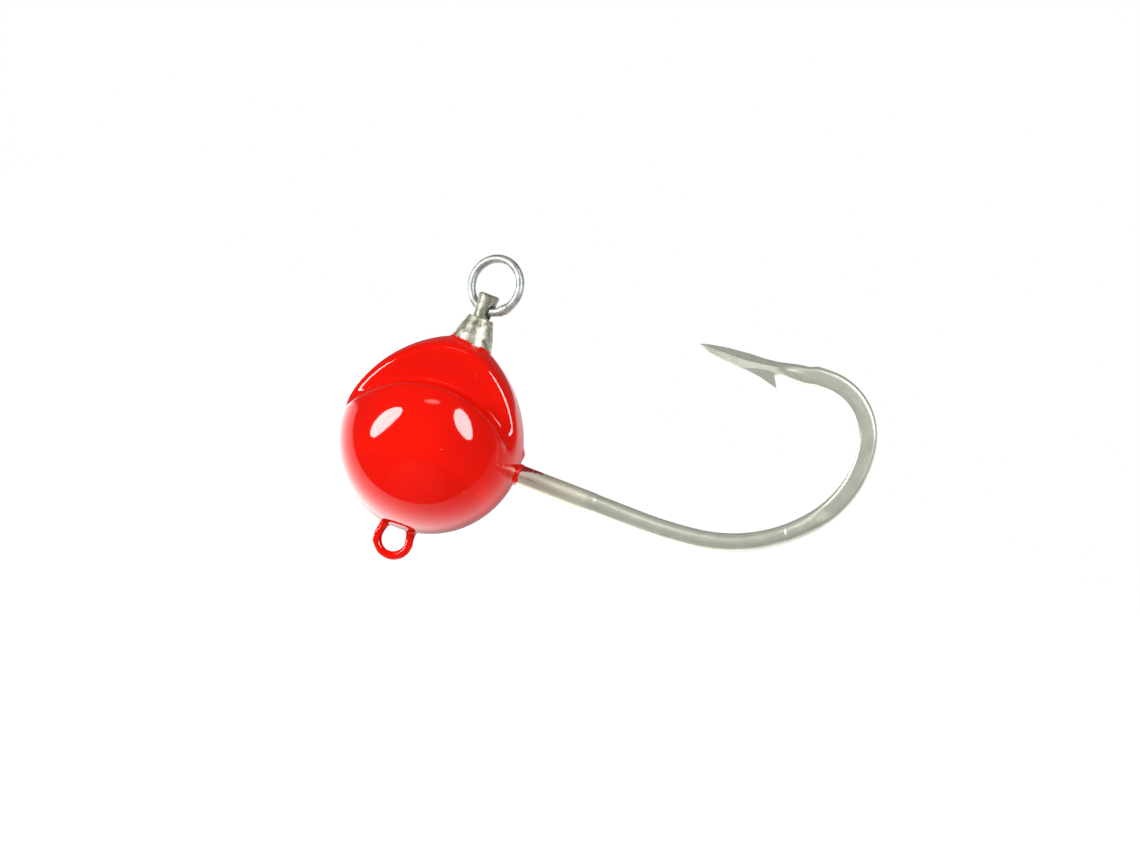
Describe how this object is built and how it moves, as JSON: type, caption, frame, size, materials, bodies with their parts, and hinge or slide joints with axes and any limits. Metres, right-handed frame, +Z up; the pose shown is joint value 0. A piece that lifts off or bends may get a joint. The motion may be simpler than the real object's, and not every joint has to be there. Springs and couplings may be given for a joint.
{
  "type": "jig head",
  "caption": "Round-headed painted lead fishing jig with a large single barbed hook, a ball-bearing line swivel and ring, and a small lower eye for an assist hook.",
  "frame": {"origin": "on the swivel axis, level with the middle of the line ring's opening, where the line pulls", "axes": "+Z up along the swivel axis, away from the head; +X along the hook's shank, away from the head; +Y across the hook's plane"},
  "size_m": [0.0854, 0.0312, 0.0557],
  "materials": {
    "cast_lead": "satin",
    "red_coat": "gloss",
    "hook_steel": "satin",
    "staple_steel": "satin",
    "plated_brass": "satin",
    "swivel_steel": "satin",
    "ring_steel": "polished",
    "bearing_steel": "polished"
  },
  "bodies": {
    "head": {"head_core": "cast_lead", "head_paint": "red_coat", "hook": "hook_steel", "assist_eye": "staple_steel", "swivel_barrel": "plated_brass", "swivel_nose": "plated_brass", "tail_post": "swivel_steel", "tail_ring": "swivel_steel"},
    "swivel": {"swivel_post": "swivel_steel"},
    "ring": {"line_ring": "ring_steel"},
    "bearing": {"bearing_ball_01": "bearing_steel", "bearing_ball_02": "bearing_steel", "bearing_ball_03": "bearing_steel", "bearing_ball_04": "bearing_steel", "bearing_ball_05": "bearing_steel", "bearing_ball_06": "bearing_steel", "bearing_ball_07": "bearing_steel", "bearing_ball_08": "bearing_steel", "bearing_ball_09": "bearing_steel", "bearing_ball_10": "bearing_steel", "bearing_ball_11": "bearing_steel", "bearing_ball_12": "bearing_steel", "bearing_ball_13": "bearing_steel", "bearing_ball_14": "bearing_steel"}
  },
  "joints": [
    {"name": "swivel_spin", "type": "hinge", "parent": "head", "child": "swivel", "pos_m": [0, 0, -0.0045], "axis": [0, 0, 1], "continuous": true},
    {"name": "ring_swing", "type": "hinge", "parent": "swivel", "child": "ring", "pos_m": [0, 0, -0.00445], "axis": [0.9272, -0.3746, 0], "range_deg": [-125, 125]},
    {"name": "bearing_orbit", "type": "hinge", "parent": "head", "child": "bearing", "pos_m": [0, 0, -0.0107], "axis": [0, 0, 1], "continuous": true}
  ],
  "couplings": [
    {"joint": "bearing_orbit", "follows": "swivel_spin", "ratio": 0.5}
  ]
}
